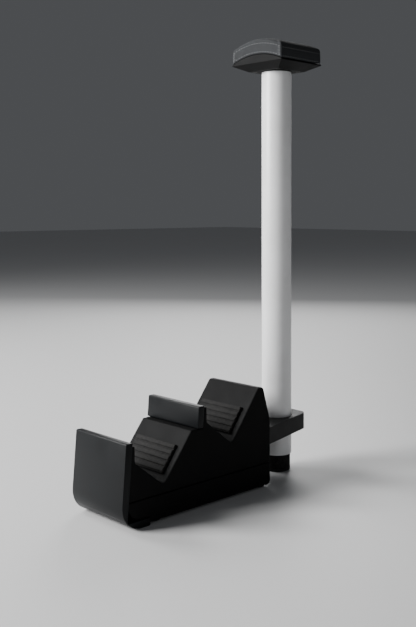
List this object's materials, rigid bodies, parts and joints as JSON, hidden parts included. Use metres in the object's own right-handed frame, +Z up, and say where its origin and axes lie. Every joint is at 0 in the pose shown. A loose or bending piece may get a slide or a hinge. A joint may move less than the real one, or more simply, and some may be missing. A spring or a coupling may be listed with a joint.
{
  "type": "headphone stand",
  "caption": "Headphone stand: a round pole with a padded arched saddle, clamped in a tapered arm behind a narrow stepped dock with sloping cradles for game controllers.",
  "frame": {"origin": "middle of the footprint, on the table", "axes": "+X to the stand's right, -Y to the front where the controllers face, +Z up along the pole"},
  "size_m": [0.051, 0.1881, 0.3172],
  "materials": {
    "white_powder_coat": "satin white powder coat",
    "black_moulding": "fine-textured black moulding",
    "charcoal_satin": "satin charcoal moulding",
    "black_casting": "black coated casting",
    "black_rubber": "matte rubber",
    "grey_fabric": "woven grey cloth with topstitching",
    "zinc_steel": "zinc plated",
    "black_screw": "blackened steel",
    "gold_contact": "gold plated",
    "green_board": "solder-masked laminate",
    "ribbon": "flexible film"
  },
  "bodies": {
    "stand": {"arm_screw_1": "zinc_steel", "arm_screw_2": "zinc_steel", "ballast_plate": "zinc_steel", "base_lower_shell": "black_moulding", "base_upper_shell": "black_moulding", "base_screw_1": "black_screw", "base_screw_2": "black_screw", "base_screw_3": "black_screw", "base_screw_4": "black_screw", "circuit_board": "green_board", "contact_carrier_front": "green_board", "contact_ribbon_front": "ribbon", "cradle_pad_front": "black_rubber", "contact_carrier_rear": "green_board", "contact_ribbon_rear": "ribbon", "cradle_pad_rear": "black_rubber", "front_lip_cover": "charcoal_satin", "rear_lip_cover": "charcoal_satin", "pole_foot": "black_rubber", "pole_set_screw": "black_screw", "pole_tube": "white_powder_coat", "rubber_foot_1": "black_rubber", "rubber_foot_2": "black_rubber", "rubber_foot_3": "black_rubber", "rubber_foot_4": "black_rubber", "saddle_board": "black_moulding", "saddle_bolt": "zinc_steel", "saddle_bracket": "black_moulding", "saddle_pad": "grey_fabric", "saddle_pad_screw_1": "black_screw", "saddle_pad_screw_2": "black_screw", "saddle_pad_screw_3": "black_screw", "saddle_pad_screw_4": "black_screw", "saddle_spigot": "zinc_steel", "tail_arm": "black_casting", "usb_inlet": "zinc_steel", "usb_tongue": "black_moulding"},
    "front_contact": {"contact_block_front": "black_moulding", "contact_pin_front_1": "gold_contact", "contact_spring_front_1": "zinc_steel", "contact_pin_front_2": "gold_contact", "contact_spring_front_2": "zinc_steel"},
    "rear_contact": {"contact_block_rear": "black_moulding", "contact_pin_rear_1": "gold_contact", "contact_spring_rear_1": "zinc_steel", "contact_pin_rear_2": "gold_contact", "contact_spring_rear_2": "zinc_steel"}
  },
  "joints": [
    {"name": "front_contact_press", "type": "slide", "parent": "stand", "child": "front_contact", "axis": [0, 0.6157, 0.788], "range_m": [-0.0015, 0], "stiffness_N_per_m": 150},
    {"name": "rear_contact_press", "type": "slide", "parent": "stand", "child": "rear_contact", "axis": [0, 0.6157, 0.788], "range_m": [-0.0015, 0], "stiffness_N_per_m": 150}
  ]
}
